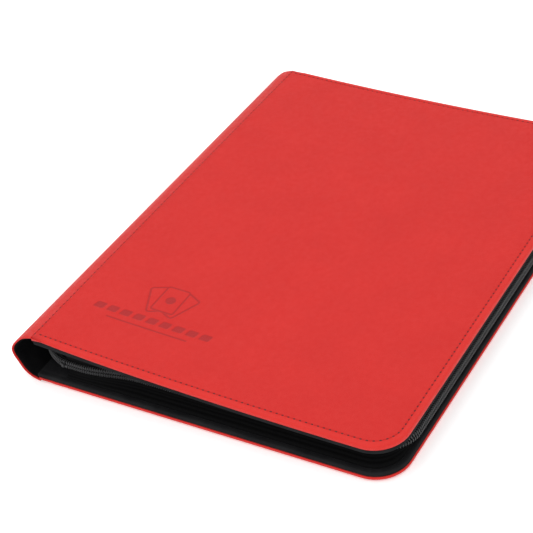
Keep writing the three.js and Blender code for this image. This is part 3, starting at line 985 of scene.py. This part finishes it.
def tape_ring(p, out, side, reach, seam_z):
    """The tape in section: upright beside the coil, then curving out to its seam."""
    top = Vector((-0.65 * MM, p.z + side * 0.5 * MM))
    upright = Vector((-0.8 * MM, p.z + side * TAPE_UPRIGHT * 0.75))
    bend = Vector((-0.8 * MM, p.z + side * TAPE_UPRIGHT * 1.1))
    seam = Vector((reach, seam_z))
    middle = []
    for k in range(9):
        t = k / 8
        near = top * (1 - t) ** 3 + upright * (3 * t * (1 - t) ** 2)
        middle.append(near + bend * (3 * t * t * (1 - t)) + seam * t ** 3)
    skin = []
    for k, q in enumerate(middle):
        way = (middle[min(k + 1, 8)] - middle[max(k - 1, 0)]).normalized()
        skin.append((q, Vector((way.y, -way.x)) * TAPE / 2))
    loop = [q + n for q, n in skin] + [q - n for q, n in reversed(skin)]
    return [Vector((p.x + out.x * q.x, p.y + out.y * q.x, q.y)) for q in loop]


def tape(name, route, side, plan, seam_height, body, node):
    """One side's tape all along the zip, with a slight ripple."""
    shape = Shape()
    rings = []
    for i, (p, ahead) in enumerate(resample(route, 3 * MM)):
        out = Vector((ahead.y, -ahead.x, 0))
        reach = seam_reach(plan, p, out)
        ripple = 0.22 * MM * math.sin(i * 0.9) * math.sin(i * 0.37 + 1)
        place_at = p + out * ripple
        seam = place_at + out * reach
        rings.append(tape_ring(place_at, out, side, reach - ripple, seam_height(seam.x)))
    shape.tube(rings)
    place(shape.make(name, TAPE_CLOTH, 50), body, "zip_tape", node)


def end_tape(name, route, body, node, outward=1):
    """The two tapes of a free end, each beside its own row of teeth."""
    shape = Shape()
    stations = resample(route, 1.5 * MM)
    for side in (1, -1):
        rings = []
        for i, (p, ahead) in enumerate(stations):
            out = Vector((ahead.y, -ahead.x, 0)) * outward
            flutter = 0.15 * MM * math.sin(i * 0.8 + side)
            width = mix(3.6, 5.6, ease(i / 5)) - 0.8 * ease((i - len(stations) + 4) / 4)
            section = (
                (-1.0, 0.45),
                (-1.0, width),
                (-0.85, width + 0.2),
                (-0.4, width + 0.2),
                (-0.3, width),
                (-0.3, 0.45),
            )
            rings.append([
                p + out * (o * MM + flutter * (h > 1)) + Vector((0, 0, side * h * MM))
                for o, h in section
            ])
        shape.tube(rings)
    place(shape.make(name, TAPE_CLOTH, 50), body, "zip_tape", node)


def stop(name, node, body):
    """A crimped metal stop with rounded shoulders, sunk between the two rows of teeth."""
    low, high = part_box(node)
    shape = Shape()
    middle, size = (low + high) / 2, (high - low) / 2
    size.z *= STOP_SHARE
    rings = []
    for z, scale in STOP_PROFILE:
        ring = []
        for t in round_turn(12):
            u = math.copysign(abs(math.cos(t)) ** 0.6, math.cos(t))
            v = math.copysign(abs(math.sin(t)) ** 0.6, math.sin(t))
            ring.append(middle + Vector((u * size.x * scale, v * size.y * scale, z * size.z)))
        rings.append(ring)
    shape.tube(rings)
    place(shape.make(name, METAL), body, "slider_metal", node)


def under_front(x):
    return front_rim(x) - 3.5 * MM


def over_back(x):
    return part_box("back_cover_lining")[1].z + 0.2 * MM


def build_zip():
    route = zip_route()
    upper, lower = "zip_tape_upper", "zip_tape_lower"
    tape(upper + "_cloth", route, 1, FRONT_PLAN, under_front, "front_cover", upper)
    tape(lower + "_cloth", route, -1, BACK_PLAN, over_back, "back_cover", lower)
    for name, side, body in (("upper", 1, "front_cover"), ("lower", -1, "back_cover")):
        coil = Shape()
        teeth(coil, route, side)
        place(coil.make(f"zip_teeth_{name}", NYLON, 60), body, "zip_coil", f"zip_coil_{name}")
    for name, ends, outward in (("tail", tail_route(), -1), ("head", head_route(), 1)):
        coil = Shape()
        teeth(coil, ends, 1, outward)
        teeth(coil, ends, -1, outward)
        piece = coil.make(f"zip_teeth_{name}_end", NYLON, 60)
        place(piece, "back_cover", "zip_coil", f"zip_{name}_end_coil")
        end_tape(f"zip_tape_{name}_end_cloth", ends, "back_cover", f"zip_{name}_end_tape", outward)
    stop("zip_head_stop_crimp", "zip_head_stop", "back_cover")
    stop("zip_tail_stop_crimp", "zip_tail_stop", "back_cover")


# ------------------------------------------------------------------ slider and puller
def soften(piece, width, segments=3):
    """Rounds every edge of a piece, and keeps the result as its mesh."""
    bm = bmesh.new()
    bm.from_mesh(piece.data)
    bmesh.ops.remove_doubles(bm, verts=bm.verts, dist=1e-6)
    bmesh.ops.dissolve_limit(bm, angle_limit=math.radians(3), verts=bm.verts, edges=bm.edges)
    sharp = [e for e in bm.edges if e.calc_face_angle(0) > math.radians(25)]
    bmesh.ops.bevel(
        bm,
        geom=sharp,
        offset=width,
        segments=segments,
        affect="EDGES",
        profile=0.5,
        clamp_overlap=True,
    )
    for face in bm.faces:
        face.smooth = True
    bm.to_mesh(piece.data)
    bm.free()
    piece.data.set_sharp_from_angle(angle=math.radians(50))


def rounded_copy(name, node, body, material, slot, width):
    """A node's own shape with softened edges."""
    mesh = frame["nodes"][node].data.copy()
    mesh.materials.clear()
    mesh.materials.append(material)
    piece = bpy.data.objects.new(name, mesh)
    bpy.context.scene.collection.objects.link(piece)
    soften(piece, width)
    return place(piece, body, slot, node)


def build_slider():
    rounded_copy("slider_shell", "slider_body", "zip_slider", METAL, "slider_metal", 0.28 * MM)
    rounded_copy("slider_arch", "slider_bail", "zip_slider", METAL, "slider_metal", 0.3 * MM)
    rounded_copy("puller_link", "puller_ring", "zip_puller", METAL, "slider_metal", 0.25 * MM)
    rounded_copy("puller_grip", "puller_tab", "zip_puller", METAL, "slider_metal", 0.4 * MM)


# ------------------------------------------------------------------ pages
PAGES = 20
PAGE_MARGIN = 9.6 * MM  # from the bound edge to the first pocket
PAGE_BORDER = 2 * MM  # round the other three sides
POCKETS = 3  # across and down


def pocket_lines(low, high):
    """Grid lines across one direction of a page, closer together beside the welds."""
    lines = []
    cell = (high - low) / POCKETS
    shares = (0, 0.012, 0.024, 0.06, 0.14, 0.3, 0.5, 0.7, 0.86, 0.94, 0.976, 0.988)
    for k in range(POCKETS):
        lines += [low + cell * (k + s) for s in shares]
    return lines + [high]


def pocket_lift(u, v):
    """Film's rise above its backing inside a pocket, from 0 on the welds to 1."""
    across = 1 - abs(2 * v - 1) ** 6
    along = 1 - max(0.0, 2 * u - 1) ** 6
    mouth = ease((u - 0.012) / 0.014)
    return across * along * mouth


def border(rows):
    """The outer points of a grid, in order round it."""
    last_column = [r[-1] for r in reversed(rows)]
    return [r[0] for r in rows] + rows[-1][1:-1] + last_column + rows[0][-2:0:-1]


def page(number):
    """One page of card pockets, a flat sheet in its node's place."""
    node = f"page_{number:02d}"
    low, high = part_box(node)
    z = (low.z + high.z) / 2
    root, x0, x1 = low.x, low.x + PAGE_MARGIN, high.x - PAGE_BORDER
    y0, y1 = low.y + PAGE_BORDER, high.y - PAGE_BORDER
    xs = [root, root + 2.4 * MM, root + 4.8 * MM, root + 7.2 * MM, x0 - 0.4 * MM]
    first = len(xs)
    xs += pocket_lines(x0, x1) + [high.x]
    ys = [low.y] + pocket_lines(y0, y1) + [high.y]
    base, lift = 0.1 * MM, 0.1 * MM
    shape = Shape()
    sides = []
    for side in (1, -1):
        rows = []
        for i, x in enumerate(xs):
            points, weld = [], []
            for y in ys:
                rise, line = 0.0, 1.0
                if i >= first and x <= x1 and y0 <= y <= y1:
                    u = (x - x0) / (x1 - x0) * POCKETS
                    v = (y - y0) / (y1 - y0) * POCKETS
                    rise = pocket_lift(u % 1, v % 1) if 0 < v < POCKETS and u < POCKETS else 0
                    line = 1 - ease(rise * 4)
                points.append(Vector((x, y, z + side * (base + lift * rise))))
                weld.append(line)
            rows.append(shape.ring(points, weld=weld))
        for a, b in zip(rows, rows[1:]):
            shape.bridge(a, b, closed=False)
        sides.append(rows)
    top, bottom = sides
    shape.bridge(border(top), border(bottom))
    piece = shape.make(f"pocket_page_{number:02d}", FILM, 50)
    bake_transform(piece)
    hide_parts(node)
    return piece


def build_pages():
    under = "back_lining_panel"
    for number in range(1, PAGES + 1):
        under = page(number).name
    rounded_copy(
        "page_binding_tape", "page_binding_strip", "spine_middle", TAPE_CLOTH, "zip_tape", 0.4 * MM
    )


# ------------------------------------------------------------------ hidden stiffeners
def dress_frame():
    for node, material in (
        ("front_cover_board", BOARD),
        ("back_cover_board", BOARD),
        ("front_cover_foam", FOAM),
        ("back_cover_foam", FOAM),
    ):
        mesh = frame["nodes"][node].data
        mesh.materials.clear()
        mesh.materials.append(material)


# ------------------------------------------------------------------ floor, light and camera
def build_stage():
    n = Nodes("pale_floor", (0.94, 0.94, 0.94), 0.75)
    cloth = n.noise(12, 2)
    n.color(n.blend(n.ramp(cloth, 0.3, 0.7, 0, 1), (0.935, 0.935, 0.935), (0.945, 0.945, 0.945)))
    n.set(Emission_Color=(1, 1, 1, 1), Emission_Strength=0.22)
    size = 3.0
    corners = [(-size, -size, 0), (size, -size, 0), (size, size, 0), (-size, size, 0)]
    below = Vector((0, 0, 0.1 * MM))
    points = [Vector(corner) - below for corner in corners]
    floor = make("floor", points, [(0, 1, 2, 3)], n.material)

    world = bpy.data.worlds.new("studio")
    world.use_nodes = True
    world.node_tree.nodes["Background"].inputs["Color"].default_value = (1, 1, 1, 1)
    world.node_tree.nodes["Background"].inputs["Strength"].default_value = 0.95
    bpy.context.scene.world = world
    bpy.context.scene.view_settings.view_transform = "Standard"

    softbox("key_light", (-0.35, -0.15, 1.7), 1.8, 12)
    softbox("fill_light", (0.6, -1.3, 1.0), 1.2, 4)


def softbox(name, place_at, size, power):
    light = bpy.data.lights.new(name, "AREA")
    light.shape = "SQUARE"
    light.size = size
    light.energy = power
    lamp = bpy.data.objects.new(name, light)
    lamp.location = place_at
    lamp.rotation_mode = "QUATERNION"
    lamp.rotation_quaternion = Vector(place_at).to_track_quat("Z", "Y")
    bpy.context.scene.collection.objects.link(lamp)


CAMERA_ANGLES = (36.19, 36.64, -10.23)  # azimuth, elevation and roll, in degrees
CAMERA_LENS = 100.15
CAMERA_PLACE = (HINGE_LINE + 0.5812, -0.6930, 0.6250)


def build_camera():
    azimuth, elevation, roll = (math.radians(a) for a in CAMERA_ANGLES)
    back = Vector(
        (
            math.sin(azimuth) * math.cos(elevation),
            -math.cos(azimuth) * math.cos(elevation),
            math.sin(elevation),
        )
    )
    data = bpy.data.cameras.new("camera")
    data.sensor_width = 36
    data.lens = CAMERA_LENS
    camera = bpy.data.objects.new("camera", data)
    camera.location = CAMERA_PLACE
    camera.rotation_mode = "QUATERNION"
    turn = back.to_track_quat("Z", "Y").to_matrix() @ Matrix.Rotation(roll, 3, "Z")
    camera.rotation_quaternion = turn.to_quaternion()
    bpy.context.scene.collection.objects.link(camera)
    bpy.context.scene.camera = camera


build_camera()
build_stage()
build_covers()
build_spine()
build_zip()
build_slider()
build_pages()
dress_frame()
